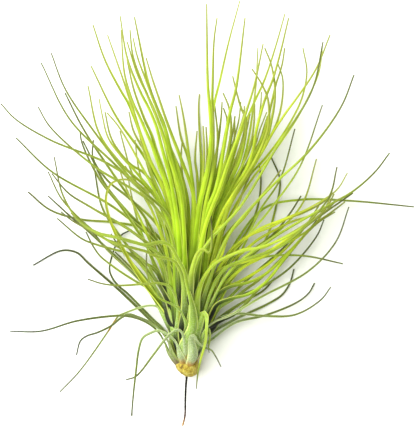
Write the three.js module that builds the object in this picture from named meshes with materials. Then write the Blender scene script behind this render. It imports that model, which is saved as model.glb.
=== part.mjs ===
// Tillandsia andreana, an air plant lying on its side on a flat surface, seen from straight above.
// Millimetres. X runs to the right and Y from the crown towards the leaf tips, +Z is up from the surface.
// The crown's underside is the working origin. The last lines move it to the bottom centre of the box.
import * as THREE from "three";

// Driving dimensions of the stem: a dry dome below, and a thin core that the leaves hide.
const domeRadius = 5.5;
const domeHeight = 6;
const coreTopRadius = 2;
const coreHeight = 29;
const stemTilt = THREE.MathUtils.degToRad(12);
const stemLift = 1.2;
const stemSides = 20;

// Growth of the leaves: each sits a golden angle on from the last and a little higher up the stem.
const goldenAngle = THREE.MathUtils.degToRad(137.5);
const firstLeafHeight = 5;
const leafSpacing = 0.4;
const outerLaunch = THREE.MathUtils.degToRad(37);
const innerLaunch = THREE.MathUtils.degToRad(7);
const sheathRun = 7;
const seatGap = 0.3;

// A leaf is a keeled channel: a broad sheath at the stem, a narrow blade, and a thread-like tip.
const sheathEnd = 8;
const bladeStart = 28;
const sheathDepth = 0.9;
const bladeDepth = 0.7;
const tipWidth = 0.5;
const tipDepth = 0.4;
const valley = 0.62;

// The seen points of a leaf are where it shows from an eye this high over the middle of the picture.
const eyeHeight = 1200;
const pictureCentre = new THREE.Vector2(10.5, 81.2);

// The leaves in order of growth, oldest first. Crest is the height that the blade arches to and tip
// the height of its end. Seen holds the points that it passes from the sheath to the tip.
const leaves = [
  { crest: 30.5, tip: 12, width: 1, sheath: 4.6, steps: 22,
    seen: [[2.1, 17], [1.7, 20.3], [3.2, 19.6], [5.6, 16.4], [8.6, 14.2], [12, 12.9], [14.2, 9.8],
      [16.9, 4.6]] },
  { crest: 14, tip: 0,
    seen: [[13.5, 19], [24, 26.5], [40, 30.5], [55.5, 37], [61, 41.5], [63.8, 46.5]] },
  { crest: 14, tip: 5, steps: 22,
    seen: [[-11, 16], [-13.5, 20.5], [-16, 23.5], [-20, 26.5], [-25, 28.8], [-31, 30], [-38, 29.8],
      [-55.5, 27.3], [-73, 22.3], [-88.5, 22.3]] },
  { crest: 38, tip: 10, width: 1.8, steps: 24,
    seen: [[6.4, 20], [7.2, 25.5], [8.1, 29.8], [9, 31.2], [9.9, 29.6], [10, 24], [9.6, 18],
      [8.4, 13.6], [6.8, 8.6], [5.6, 3], [5, -1.5], [4.6, -6.5]] },
  { crest: 1, tip: 0,
    seen: [[-10, 21], [-13, 24], [-16.2, 26.2], [-19, 28.7], [-25, 34.5], [-36, 44.8], [-50, 57],
      [-54, 61], [-58, 62.6], [-63.5, 62.5], [-77, 55.3]] },
  { crest: 39, tip: 4, steps: 22,
    seen: [[-1.7, 19], [-2.9, 22], [-4.6, 23], [-7.4, 21.8], [-11.2, 18], [-16.5, 11], [-25.3, 0],
      [-30.5, -2]] },
  { crest: 14, tip: 12, seen: [[13, 26.5], [24.5, 31], [37.5, 30], [54, 30.5], [67, 38], [72, 44.5]] },
  { crest: 11, tip: 0, steps: 22,
    seen: [[-11, 20.5], [-14.5, 22.6], [-18, 21.6], [-22.2, 19], [-24.2, 13], [-25.5, 3], [-26.8, -8.5],
      [-27.8, -20]] },
  { crest: 45, tip: 30,
    seen: [[4.4, 24], [6, 40.5], [11, 52.5], [21.5, 61], [37.5, 64.5], [56.5, 73.5], [71, 89.5],
      [75, 104.5]] },
  { crest: 1, tip: 0,
    seen: [[11, 21], [25.5, 29], [40.5, 36], [47.5, 40.5], [51.5, 46.5], [53.5, 53.5]] },
  { crest: 18, tip: 3, width: 1.1, steps: 22,
    seen: [[-9, 16], [-12, 21], [-15, 24.2], [-20, 27.5], [-25, 29.6], [-29, 30.8], [-33, 29],
      [-38, 25], [-45, 21.6], [-50, 20], [-53.3, 17.5], [-55.3, 10.5]] },
  { crest: 24, tip: 14,
    seen: [[11, 25], [22.5, 30.5], [36.5, 39], [61, 52.5], [74.5, 67], [81, 84.5]] },
  { crest: 8, tip: 1, steps: 22,
    seen: [[-10, 20], [-12.5, 24], [-16, 27.3], [-19, 30.3], [-22, 33.4], [-30, 41.5], [-34, 44.8],
      [-37, 48.5], [-38.7, 53], [-37.6, 59.5], [-35.5, 65.5], [-33, 70.2], [-29, 72.5]] },
  { crest: 66, tip: 14, steps: 28,
    seen: [[2.4, 28], [2.7, 33], [1.7, 38.5], [0.6, 43], [-0.3, 47], [-0.9, 50.5], [-2.2, 54.2],
      [-4.2, 57.5], [-6.2, 61.5], [-8.2, 64.8], [-10.8, 66.4], [-14.5, 66.9], [-20, 65.4], [-26, 66.6],
      [-35, 69.2], [-43.5, 71], [-54, 77.5], [-62, 90], [-66.5, 109.5]] },
  { crest: 9, tip: 8, seen: [[12, 32], [26.5, 40], [37.5, 44.5], [51.5, 54], [65, 70], [68.5, 78]] },
  { crest: 12, tip: 1, steps: 22,
    seen: [[-9.5, 27], [-12, 32], [-15, 34.6], [-19.5, 35], [-25, 33.6], [-31, 31.3], [-34, 30],
      [-36.3, 27], [-38.5, 23.5], [-53.5, 2.5], [-63.5, -8]] },
  { crest: 34, tip: 24,
    seen: [[8, 29], [12.5, 43], [19.5, 54], [31.5, 59], [46.5, 64.5], [62.5, 77], [83, 91.5]] },
  { crest: 0.5, tip: 0,
    seen: [[8, 35], [28, 56], [38.5, 66.5], [44.5, 84.5], [46.5, 98], [42.3, 109]] },
  { crest: 30, tip: 16,
    seen: [[-5, 34], [-6.8, 41.5], [-9.5, 45], [-14, 46.3], [-20, 46.1], [-33.5, 45.2], [-42, 46],
      [-49.5, 48.3]] },
  { crest: 19, tip: 16, seen: [[11, 34], [20.5, 50], [37.5, 59], [58, 60], [78, 56]] },
  { crest: 12, tip: 3,
    seen: [[-9.5, 25], [-12, 33], [-15.5, 39.5], [-19, 43.5], [-24.5, 46.6], [-31, 50.6], [-38, 55.5],
      [-43.5, 60], [-47, 65], [-50.5, 72]] },
  { crest: 62, tip: 50,
    seen: [[3, 38], [4.5, 55], [10, 66], [26.5, 84.5], [44, 113], [62.5, 143], [68, 167]] },
  { crest: 4, tip: 6, seen: [[11, 40], [24, 66], [39, 84], [56.5, 88], [81.5, 87.5], [113.5, 84.5]] },
  { crest: 20, tip: 12,
    seen: [[-8.5, 33], [-12, 42], [-15, 46.5], [-19, 52], [-23, 57], [-28, 60.8], [-36, 63],
      [-45, 65.5], [-52.5, 68.5], [-65, 78.8]] },
  { crest: 34, tip: 24,
    seen: [[10, 34], [20.5, 51], [41.5, 68], [66.5, 83], [82.5, 92], [94, 102], [101.3, 111.5]] },
  { crest: 0.6, tip: 0,
    seen: [[-5, 40], [-10, 62], [-17, 72], [-34.5, 76.5], [-53.5, 78.3], [-68.5, 83], [-79.5, 92]] },
  { crest: 52, tip: 20, steps: 22,
    seen: [[-0.8, 34], [-1.4, 40], [-2.2, 45], [-3, 50], [-4.2, 54.2], [-6.3, 57.2], [-9.5, 58.6],
      [-13.5, 59.3], [-17, 60.4], [-20, 62], [-26, 63.7], [-35, 66], [-43.5, 70], [-62, 87.5],
      [-69.5, 102]] },
  { crest: 13, tip: 12, seen: [[13, 42], [28, 64], [36.5, 82.5], [46.5, 98], [54, 123.5]] },
  { crest: 12, tip: 5, steps: 22,
    seen: [[-7.5, 28], [-13, 36], [-18, 42], [-22.5, 46.8], [-26, 50.5], [-30, 54.5], [-35, 59.3],
      [-42, 65.6], [-49, 72], [-58, 79.5], [-69.5, 90]] },
  { crest: 46, tip: 36,
    seen: [[6.5, 37], [13.5, 54], [21.5, 71.5], [41.5, 94], [61, 112.5], [77, 134.5], [83.5, 150.5]] },
  { crest: 1, tip: 0, seen: [[8, 44], [24, 62], [34.5, 81.5], [37, 97], [36, 106.5]] },
  { crest: 38, tip: 20,
    seen: [[-6, 43], [-9, 65.5], [-21, 92], [-38.5, 105.5], [-68.5, 118], [-86, 128.5], [-93, 136]] },
  { crest: 24, tip: 22, seen: [[10, 44], [24, 61], [41.5, 83], [56.5, 104.5], [67.8, 135.5]] },
  { crest: 3, tip: 2, steps: 22,
    seen: [[-8, 36], [-12, 46], [-16, 52.4], [-20.5, 56.3], [-25.5, 59.5], [-28.6, 63.5], [-32, 68],
      [-36, 73.5], [-42.5, 84.5], [-46.5, 104.5]] },
  { crest: 58, tip: 70,
    seen: [[2.4, 43], [-1.5, 70.5], [-3.3, 91], [-6, 100.3], [-9, 109.5], [-11.2, 118], [-14, 126],
      [-17.1, 134.5], [-20.6, 141.8], [-25, 151], [-30, 167]] },
  { crest: 7, tip: 6, seen: [[11, 46], [30, 60], [46.5, 73], [58, 86.5], [64.8, 108.5]] },
  { crest: 17, tip: 9,
    seen: [[-5.5, 38], [-9.5, 53], [-14.5, 65], [-23.5, 74], [-38.5, 85.5], [-67.5, 102],
      [-85.5, 119]] },
  { crest: 44, tip: 34,
    seen: [[5.5, 44], [16, 78], [28, 98], [37.2, 111.4], [43.1, 122], [49, 131], [56.2, 140.8],
      [64.5, 153.5], [71.5, 170.5]] },
  { crest: 0.6, tip: 0, seen: [[2.5, 48], [5, 80], [7.2, 103], [6.3, 122], [5.8, 134], [6.2, 141]] },
  { crest: 47, tip: 30,
    seen: [[-3.5, 48], [-8, 70.5], [-18.5, 87], [-46, 104.5], [-68.5, 124.5], [-74.5, 134.5]] },
  { crest: 20, tip: 26,
    seen: [[5, 48], [14, 73], [22, 90], [28.5, 108], [31.2, 120], [33.2, 134], [34.6, 146],
      [35.5, 164]] },
  { crest: 8, tip: 10, seen: [[-4.6, 48], [-17, 72], [-33.5, 96], [-51.5, 123], [-61, 141.5]] },
  { crest: 58, tip: 62,
    seen: [[3.5, 47], [9, 74], [16, 93], [20, 105], [23.5, 114.5], [27, 124], [29.7, 132.6],
      [32.4, 141], [34.5, 149], [38, 166]] },
  { crest: 8, tip: 12,
    seen: [[6, 50], [18, 78], [30, 98.5], [39.2, 108.8], [45.7, 117.3], [52.3, 127.7], [57.5, 138.8],
      [60, 152], [58, 164]] },
  { crest: 33, tip: 22, seen: [[-5, 50], [-13.5, 79.5], [-33.5, 103], [-58.5, 128], [-73, 156.5]] },
  { crest: 32, tip: 40,
    seen: [[4, 50], [14, 77], [22, 92], [29, 102], [32.8, 112.2], [34.7, 123], [37.2, 132.6],
      [39.7, 140.3], [42.8, 148], [47, 163], [50.8, 179]] },
  { crest: 6, tip: 6, seen: [[-2, 52], [-8, 83], [-21, 109], [-35, 129], [-48, 155]] },
  { crest: 54, tip: 58,
    seen: [[0.5, 50], [-5, 78], [-8.5, 98.4], [-11, 108], [-13.3, 116.5], [-15.2, 124], [-19, 133.4],
      [-23.3, 141.8], [-30, 159], [-33.5, 180]] },
  { crest: 14, tip: 24,
    seen: [[3.5, 52], [12.5, 82], [20, 97], [23.8, 111], [26.6, 120.3], [30.8, 130], [34.3, 138],
      [38.9, 148], [44.5, 165], [49, 181]] },
  { crest: 20, tip: 16, seen: [[-4, 52], [-13.5, 85.5], [-33.5, 106.5], [-44, 121.5], [-49.5, 145]] },
  { crest: 48, tip: 50,
    seen: [[1.5, 52], [10, 82], [14, 92], [16, 100], [18, 112], [19.7, 122], [21.5, 132], [24.5, 144],
      [29, 179]] },
  { crest: 4, tip: 3, seen: [[1.5, 54], [3.5, 88], [1, 107.5], [-3, 119.5], [-5.5, 135]] },
  { crest: 40, tip: 34,
    seen: [[-2.5, 54], [-8, 77.5], [-26, 96], [-47.5, 123.5], [-61, 143.5], [-68, 161.5]] },
  { crest: 24, tip: 34,
    seen: [[2.5, 54], [8, 82], [10.8, 104], [12.2, 122], [13.6, 135], [16.7, 148], [21, 167],
      [26.5, 187.5]] },
  { crest: 10, tip: 16,
    seen: [[-2, 55], [-8, 76], [-15.2, 94.5], [-18.7, 103], [-20.8, 111], [-23.5, 121.5],
      [-26.5, 129.5], [-29.4, 136.5], [-33.3, 143], [-41, 158], [-47, 175.5]] },
  { crest: 46, tip: 56,
    seen: [[1, 56], [6, 84], [10.5, 104], [12, 122], [11.2, 134], [10.3, 146], [10, 160], [9.8, 186]] },
  { crest: 8, tip: 14, seen: [[2, 56], [14, 84], [31.5, 104], [45.5, 128], [48, 148], [45.5, 156]] },
  { crest: 30, tip: 38,
    seen: [[-0.5, 57], [-1.5, 86], [-5.6, 105.7], [-8.7, 114.5], [-10.8, 123], [-14.8, 133.4],
      [-18.7, 144], [-26.3, 179.5]] },
];

// The stem's outline from its underside to its top: radius, then height along the stem.
const stemOutline = [
  new THREE.Vector2(0, 0),
  new THREE.Vector2(domeRadius * 0.42, 0.5),
  new THREE.Vector2(domeRadius * 0.78, 2.2),
  new THREE.Vector2(domeRadius * 0.96, 4.2),
  new THREE.Vector2(domeRadius, domeHeight),
  new THREE.Vector2(coreTopRadius, coreHeight),
  new THREE.Vector2(0, coreHeight + 1),
];

// The stem lies tilted up a little, its dome held just off the surface by the oldest leaf.
const stemAxis = new THREE.Vector3(0, Math.cos(stemTilt), Math.sin(stemTilt));
const stemUp = new THREE.Vector3(0, -Math.sin(stemTilt), Math.cos(stemTilt));
const stemSag = stemOutline.map(({ x, y }) => x * Math.cos(stemTilt) - y * Math.sin(stemTilt));
const stemFoot = new THREE.Vector3(0, 0, Math.max(...stemSag) + stemLift);

function stemRadius(height) {
  const share = (height - domeHeight) / (coreHeight - domeHeight);
  return THREE.MathUtils.lerp(domeRadius, coreTopRadius, THREE.MathUtils.clamp(share, 0, 1));
}

// Moves a seen point up its line of sight to its real place at a height.
function placeSeen(seen, height) {
  const pull = 1 - height / eyeHeight;
  return new THREE.Vector3(
    pictureCentre.x + (seen[0] - pictureCentre.x) * pull,
    pictureCentre.y + (seen[1] - pictureCentre.y) * pull,
    height,
  );
}

// The points of a leaf: its seat on the stem, the end of its straight sheath, and the seen points
// at heights that arch from there over the crest to the tip.
function leafRoute(leaf, rank) {
  const age = rank / (leaves.length - 1);
  const height = firstLeafHeight + rank * leafSpacing;
  const turn = rank * goldenAngle;
  const outward = stemUp.clone().multiplyScalar(Math.cos(turn));
  outward.x += Math.sin(turn);
  const launch = THREE.MathUtils.lerp(outerLaunch, innerLaunch, age);
  const heading = stemAxis.clone().multiplyScalar(Math.cos(launch));
  heading.addScaledVector(outward, Math.sin(launch));
  const seat = stemFoot.clone().addScaledVector(stemAxis, height);
  seat.addScaledVector(outward, stemRadius(height) + seatGap + valley * sheathDepth);
  const sheathTop = seat.clone().addScaledVector(heading, sheathRun);
  sheathTop.z = Math.max(sheathTop.z, 0);
  const seen = leaf.seen.map(([x, y]) => new THREE.Vector2(x, y));
  const runs = seen.map((point, i) => point.distanceTo(i ? seen[i - 1] : sheathTop));
  const total = runs.reduce((sum, run) => sum + run, 0);
  const points = [seat, sheathTop];
  let run = 0;
  seen.forEach((point, i) => {
    run += runs[i];
    const u = run / total;
    const arch = (1 - u) ** 2 * sheathTop.z + 2 * u * (1 - u) * leaf.crest + u ** 2 * leaf.tip;
    points.push(placeSeen(leaf.seen[i], Math.max(arch, 0)));
  });
  return { points, outward };
}

function bladeSize(leaf, rank, u, length) {
  const age = rank / (leaves.length - 1);
  const sheath = leaf.sheath ?? THREE.MathUtils.lerp(4.2, 2.6, age);
  const blade = leaf.width ?? THREE.MathUtils.lerp(1.4, 2.4, age);
  const neck = THREE.MathUtils.smoothstep(u * length, sheathEnd, bladeStart);
  const taper = u ** 1.8;
  return {
    width: THREE.MathUtils.lerp(THREE.MathUtils.lerp(sheath, blade, neck), tipWidth, taper),
    depth: THREE.MathUtils.lerp(THREE.MathUtils.lerp(sheathDepth, bladeDepth, neck), tipDepth, taper),
  };
}

// The section of a leaf, one wide and one deep: keel at the origin, edges inwards, a valley between.
const section = new THREE.Shape([
  new THREE.Vector2(-0.5, 1),
  new THREE.Vector2(0, 0),
  new THREE.Vector2(0.5, 1),
  new THREE.Vector2(0, valley),
]);

// The corners of the section at a station of the leaf.
function placeCorner(station, x, y) {
  const corner = station.centre.clone().addScaledVector(station.across, x * station.width);
  return corner.addScaledVector(station.inward, y * station.depth);
}

// A straight extrusion of the section, bent along the leaf's route without twist. Where the route
// would go under the surface, the leaf lies on it.
function leafGeometry(leaf, rank) {
  const { points, outward } = leafRoute(leaf, rank);
  const curve = new THREE.CatmullRomCurve3(points, false, "centripetal");
  curve.arcLengthDivisions = 800;
  const steps = leaf.steps ?? 16;
  const geometry = new THREE.ExtrudeGeometry(section, { depth: 1, steps, bevelEnabled: false });
  const length = curve.getLength();
  const stations = [];
  let inward = outward.clone().negate();
  for (let i = 0; i <= steps; i += 1) {
    const u = i / steps;
    const along = curve.getTangentAt(u);
    inward = inward.clone().addScaledVector(along, -inward.dot(along)).normalize();
    const across = new THREE.Vector3().crossVectors(inward, along);
    const station = { centre: curve.getPointAt(u), inward, across, ...bladeSize(leaf, rank, u, length) };
    const lowest = Math.min(...section.getPoints().map(({ x, y }) => placeCorner(station, x, y).z));
    station.centre.z -= Math.min(lowest, 0);
    stations.push(station);
  }
  const position = geometry.getAttribute("position");
  for (let i = 0; i < position.count; i += 1) {
    const station = stations[Math.round(position.getZ(i) * steps)];
    position.setXYZ(i, ...placeCorner(station, position.getX(i), position.getY(i)));
  }
  return geometry;
}

function stemGeometry() {
  const geometry = new THREE.LatheGeometry(stemOutline, stemSides);
  geometry.applyMatrix4(new THREE.Matrix4().makeBasis(new THREE.Vector3(1, 0, 0), stemAxis, stemUp));
  return geometry.translate(stemFoot.x, stemFoot.y, stemFoot.z);
}

// The dry root leaves the middle of the dome's underside and tapers to a pale tip.
function rootGeometry() {
  const route = new THREE.CatmullRomCurve3([
    stemFoot.clone().add(new THREE.Vector3(0, -seatGap, 0)),
    new THREE.Vector3(-0.5, -4.5, stemFoot.z - 0.2),
    new THREE.Vector3(-0.8, -12, stemFoot.z - 0.6),
    new THREE.Vector3(-1, -19.5, stemFoot.z - 1),
    new THREE.Vector3(-2.2, -24.8, stemFoot.z - 1.4),
  ]);
  const outline = new THREE.Shape();
  outline.absarc(0, 0, 0.5, 0, 2 * Math.PI);
  return new THREE.ExtrudeGeometry(outline, { steps: 14, curveSegments: 4, extrudePath: route });
}

const dryStem = new THREE.MeshStandardMaterial({ color: "#bda737", roughness: 0.85, metalness: 0 });
const dryRoot = new THREE.MeshStandardMaterial({ color: "#2a1a1a", roughness: 0.8, metalness: 0 });
const oldLeaf = new THREE.Color("#8fa26a");
const youngLeaf = new THREE.Color("#a0c01a");

function addPiece(group, name, geometry, material) {
  const mesh = new THREE.Mesh(geometry, material);
  mesh.name = name;
  group.add(mesh);
}

const plant = new THREE.Group();
addPiece(plant, "stem_base", stemGeometry(), dryStem);
addPiece(plant, "dry_root", rootGeometry(), dryRoot);
leaves.forEach((leaf, rank) => {
  const color = oldLeaf.clone().lerp(youngLeaf, rank / (leaves.length - 1));
  const material = new THREE.MeshStandardMaterial({ color, roughness: 0.6, metalness: 0 });
  const name = `leaf_${String(rank + 1).padStart(2, "0")}`;
  addPiece(plant, name, leafGeometry(leaf, rank), material);
});

// The origin moves to the bottom centre of the whole plant's box.
const box = new THREE.Box3().setFromObject(plant);
plant.position.set(-(box.min.x + box.max.x) / 2, -(box.min.y + box.max.y) / 2, -box.min.z);

export default plant;
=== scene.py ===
import math

import bpy
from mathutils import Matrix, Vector


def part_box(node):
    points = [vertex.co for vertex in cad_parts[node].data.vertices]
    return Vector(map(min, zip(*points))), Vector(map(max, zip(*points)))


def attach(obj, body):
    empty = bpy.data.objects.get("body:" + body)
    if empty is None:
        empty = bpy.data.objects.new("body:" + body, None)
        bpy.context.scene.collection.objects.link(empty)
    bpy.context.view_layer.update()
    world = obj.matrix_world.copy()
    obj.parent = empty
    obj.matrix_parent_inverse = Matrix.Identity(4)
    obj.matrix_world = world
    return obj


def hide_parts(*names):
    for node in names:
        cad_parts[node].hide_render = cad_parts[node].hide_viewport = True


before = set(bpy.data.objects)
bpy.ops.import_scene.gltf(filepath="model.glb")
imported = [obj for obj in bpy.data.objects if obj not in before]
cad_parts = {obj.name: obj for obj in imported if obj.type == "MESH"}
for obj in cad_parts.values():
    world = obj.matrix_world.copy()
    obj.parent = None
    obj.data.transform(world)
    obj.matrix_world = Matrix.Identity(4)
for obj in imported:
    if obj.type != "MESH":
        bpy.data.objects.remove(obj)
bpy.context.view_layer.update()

# An air plant lies on its side on white paper and is seen from straight above.
# Metres. X runs to the right, Y from the crown towards the leaf tips, and Z is up from the paper.
# The leaves are laid out in millimetres from the crown's underside, and then moved into the frame.
millimetre = 0.001
stem_low, stem_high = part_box("stem_base")
stem_tilt = math.radians(12)
core_height = 29
crown = Vector((
    (stem_low.x + stem_high.x) / 2,
    stem_high.y - (core_height + 1) * math.cos(stem_tilt) * millimetre,
    0,
))


# The camera looks straight down from 1.2 m over the middle of the picture, and a sheet of 208 mm
# fills its width at the height of the paper.
eye_height = 1200
picture_centre = Vector((10.5, 81.2))
picture_width = 208

bpy.ops.object.select_all(action="DESELECT")
bpy.ops.object.camera_add(location=(
    crown.x + picture_centre.x * millimetre,
    crown.y + picture_centre.y * millimetre,
    eye_height * millimetre,
))
camera = bpy.context.object
camera.name = "camera"
camera.data.sensor_fit = "HORIZONTAL"
camera.data.lens = camera.data.sensor_width * eye_height / picture_width
bpy.context.scene.camera = camera
bpy.context.scene.view_settings.view_transform = "Standard"


def linear(colour):
    """The linear red, green, blue and alpha of an sRGB hex colour."""
    shares = [int(colour[i:i + 2], 16) / 255 for i in (1, 3, 5)]
    return (*(s / 12.92 if s <= 0.04045 else ((s + 0.055) / 1.055) ** 2.4 for s in shares), 1)


def add_node(tree, kind, inputs=None, **settings):
    """Adds a shader node. An input given as a socket is linked, and any other is set."""
    node = tree.nodes.new("ShaderNode" + kind)
    for name, value in settings.items():
        setattr(node, name, value)
    for name, value in (inputs or {}).items():
        if isinstance(value, bpy.types.NodeSocket):
            tree.links.new(value, node.inputs[name])
        else:
            node.inputs[name].default_value = value
    return node


def start_material(name):
    """A new material with an empty node tree."""
    material = bpy.data.materials.new(name)
    material.use_nodes = True
    material.node_tree.nodes.clear()
    return material


# The paper is matt white cartridge paper, and lies flat under the whole plant. It only catches the
# plant's soft shadow.
bpy.ops.mesh.primitive_plane_add(size=3, location=(0, 0, -0.0002))
paper = bpy.context.object
paper.name = "paper"
white_paper = start_material("matt_white_paper")
paper_shader = add_node(white_paper.node_tree, "BsdfPrincipled", {
    "Base Color": linear("#F4F4F2"),
    "Roughness": 0.9,
    "Specular IOR Level": 0.1,
})
add_node(white_paper.node_tree, "OutputMaterial", {"Surface": paper_shader.outputs["BSDF"]})
paper.data.materials.append(white_paper)

# Daylight comes from a large soft window, which stands high to the left of the plant, and a pale
# room fills the shadows.
bpy.ops.object.light_add(type="AREA", location=(crown.x - 0.72, crown.y + 0.3, 1.05))
window = bpy.context.object
window.name = "window"
window.data.size = 1.8
window.data.energy = 48
to_plant = Vector((crown.x, crown.y + 0.08, 0)) - window.location
window.rotation_euler = to_plant.to_track_quat("-Z", "Y").to_euler()
room = bpy.data.worlds.new("room")
room.use_nodes = True
room.node_tree.nodes.clear()
room_light = add_node(room.node_tree, "Background", {
    "Color": linear("#EEF4DC"), "Strength": 0.56,
})
add_node(room.node_tree, "OutputWorld", {"Surface": room_light.outputs["Background"]})
bpy.context.scene.world = room


# The stem is a short woody core. Its dry tan dome shows below the leaves, fibrous and blotched where
# old leaves and roots have withered off. It is drawn out ring by ring along the tilted stem.
dome_radius = 5.5
dome_height = 6
core_top_radius = 2
stem_lift = 1.2

# The plain outline, as radius and height, says how low the tilted stem hangs.
stem_outline = [
    (0, 0),
    (dome_radius * 0.42, 0.5),
    (dome_radius * 0.78, 2.2),
    (dome_radius * 0.96, 4.2),
    (dome_radius, dome_height),
    (core_top_radius, core_height),
    (0, core_height + 1),
]
stem_axis = Vector((0, math.cos(stem_tilt), math.sin(stem_tilt)))
stem_up = Vector((0, -math.sin(stem_tilt), math.cos(stem_tilt)))
stem_sag = [radius * math.cos(stem_tilt) - height * math.sin(stem_tilt) for radius, height in stem_outline]
stem_foot = Vector((0, 0, max(stem_sag) + stem_lift))

# The rings of the lopsided dome and the core: radius, height, and how far right of the axis.
stem_rings = [
    (1.2, 0.1, 1.5), (2.8, 0.5, 1.5), (4.4, 1.9, 1.1), (5.4, 3.6, 0.5), (6, 5.4, 0.1), (5.8, 7.5, 0),
    (4.6, 12, 0), (3.7, 18, 0), (2.9, 24, 0), (core_top_radius, core_height, 0), (0.8, 29.7, 0),
]
first_radius, first_height, first_right = stem_rings[0]
first_place = stem_foot + stem_axis * first_height + Vector((first_right, 0, 0))

bpy.ops.mesh.primitive_circle_add(
    vertices=36,
    radius=first_radius * millimetre,
    fill_type="NGON",
    location=crown + first_place * millimetre,
    rotation=(math.radians(-90) + stem_tilt, 0, 0),
)
stem = bpy.context.object
stem.name = "dry_stem"
bpy.ops.object.transform_apply(location=True, rotation=True)
bpy.ops.object.mode_set(mode="EDIT")
for (radius, height, right), (next_radius, next_height, next_right) in zip(stem_rings, stem_rings[1:]):
    rise = (stem_axis * (next_height - height) + Vector((next_right - right, 0, 0))) * millimetre
    bpy.ops.mesh.extrude_region_move(TRANSFORM_OT_translate={"value": rise})
    bpy.ops.transform.resize(value=[next_radius / radius] * 3)
bpy.ops.mesh.select_all(action="SELECT")
bpy.ops.mesh.normals_make_consistent(inside=False)
bpy.ops.object.mode_set(mode="OBJECT")
rounding = stem.modifiers.new("rounding", "SUBSURF")
rounding.levels = 2
rounding.render_levels = 2
bpy.ops.object.modifier_apply(modifier="rounding")
lumps = bpy.data.textures.new("withered_lumps", "CLOUDS")
lumps.noise_scale = 1.6 * millimetre
withering = stem.modifiers.new("withering", "DISPLACE")
withering.texture = lumps
withering.texture_coords = "LOCAL"
withering.strength = 0.7 * millimetre
withering.mid_level = 0.7
bpy.ops.object.modifier_apply(modifier="withering")
bpy.ops.object.shade_smooth()

# Dry tan bark: matt, brown where it is bruised and pale where fibres have frayed. Blotches are 2.4 mm
# across, and fibres 0.4 mm wide and 2 mm long. Scales are how many there are in a metre.
tan_bark = start_material("dry_tan_bark")
tree = tan_bark.node_tree
place = add_node(tree, "TexCoord").outputs["Object"]
blotch = add_node(tree, "TexNoise", {"Vector": place, "Scale": 420, "Detail": 4, "Roughness": 0.6})
blotch_colour = add_node(tree, "ValToRGB", {"Fac": blotch.outputs["Fac"]})
blotch_colour.color_ramp.elements[0].position = 0.34
blotch_colour.color_ramp.elements[0].color = linear("#70581C")
blotch_colour.color_ramp.elements[1].position = 0.68
blotch_colour.color_ramp.elements[1].color = linear("#CCC062")
blotch_colour.color_ramp.elements.new(0.48).color = linear("#AE982C")
fibre_stretch = add_node(tree, "VectorMath", {
    0: place, 1: (2600, 500, 2600),
}, operation="MULTIPLY")
fibre = add_node(tree, "TexNoise", {
    "Vector": fibre_stretch.outputs["Vector"], "Scale": 1, "Detail": 3,
})
fibre_light = add_node(tree, "MapRange", {
    "Value": fibre.outputs["Fac"], "From Min": 0.35, "From Max": 0.65, "To Min": 0.65, "To Max": 1.15,
})
bark_colour = add_node(tree, "VectorMath", {
    0: blotch_colour.outputs["Color"], "Scale": fibre_light.outputs["Result"],
}, operation="SCALE")

# Above the dome the core is painted near black over 5 mm, as painted shade down between the sheaths.
height_on_stem = add_node(tree, "SeparateXYZ", {"Vector": place}).outputs["Y"]
sheath_shade_share = add_node(tree, "MapRange", {
    "Value": height_on_stem,
    "From Min": crown.y + dome_height * millimetre,
    "From Max": crown.y + (dome_height + 5) * millimetre,
})
shaded_core_colour = add_node(tree, "Mix", {
    0: sheath_shade_share.outputs["Result"], 6: bark_colour.outputs["Vector"], 7: linear("#12160A"),
}, data_type="RGBA")
bark_relief = add_node(tree, "Bump", {
    "Height": fibre.outputs["Fac"], "Strength": 0.8, "Distance": 0.0004,
})
bark_shader = add_node(tree, "BsdfPrincipled", {
    "Base Color": shaded_core_colour.outputs[2], "Normal": bark_relief.outputs["Normal"], "Roughness": 0.85,
})
add_node(tree, "OutputMaterial", {"Surface": bark_shader.outputs["BSDF"]})
stem.data.materials.append(tan_bark)
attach(stem, "root")
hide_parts("stem_base")


# A single dead root hangs from the middle of the dome: a dry strand a millimetre thick, wrinkled along
# its length, nearly black, and tan at its frayed end. A straight root is bent along its run.
root_points = [
    stem_foot + Vector((0, 1.2, 0)),
    Vector((-0.5, -4.5, stem_foot.z - 0.2)),
    Vector((-0.8, -12, stem_foot.z - 0.6)),
    Vector((-1, -19.5, stem_foot.z - 1)),
    Vector((-2.2, -24.8, stem_foot.z - 1.4)),
]
root_end = 24.9
root_steps = 60
curve_steps = 24


def smooth_curve(points):
    """A close row of places on the smooth curve through points, which keeps clear of loops."""
    first = points[0] * 2 - points[1]
    last = points[-1] * 2 - points[-2]
    row = [first] + points + [last]
    places = []
    for a, b, c, d in zip(row, row[1:], row[2:], row[3:]):
        before = math.sqrt((b - a).length)
        here = math.sqrt((c - b).length)
        after = math.sqrt((d - c).length)
        leave = ((b - a) / before - (c - a) / (before + here) + (c - b) / here) * here
        arrive = ((c - b) / here - (d - b) / (here + after) + (d - c) / after) * here
        for step in range(curve_steps):
            t = step / curve_steps
            places.append(
                b + leave * t
                + (c * 3 - b * 3 - leave * 2 - arrive) * t ** 2
                + (b * 2 - c * 2 + leave + arrive) * t ** 3
            )
    places.append(points[-1])
    return places


def even_places(places, steps):
    """Places an even run apart along a close row of places, and the whole run."""
    runs = [0]
    for before, here in zip(places, places[1:]):
        runs.append(runs[-1] + (here - before).length)
    found = []
    k = 0
    for step in range(steps + 1):
        run = runs[-1] * step / steps
        while k < len(runs) - 2 and runs[k + 1] < run:
            k += 1
        share = (run - runs[k]) / (runs[k + 1] - runs[k])
        found.append(places[k].lerp(places[k + 1], share))
    return found, runs[-1]


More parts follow.
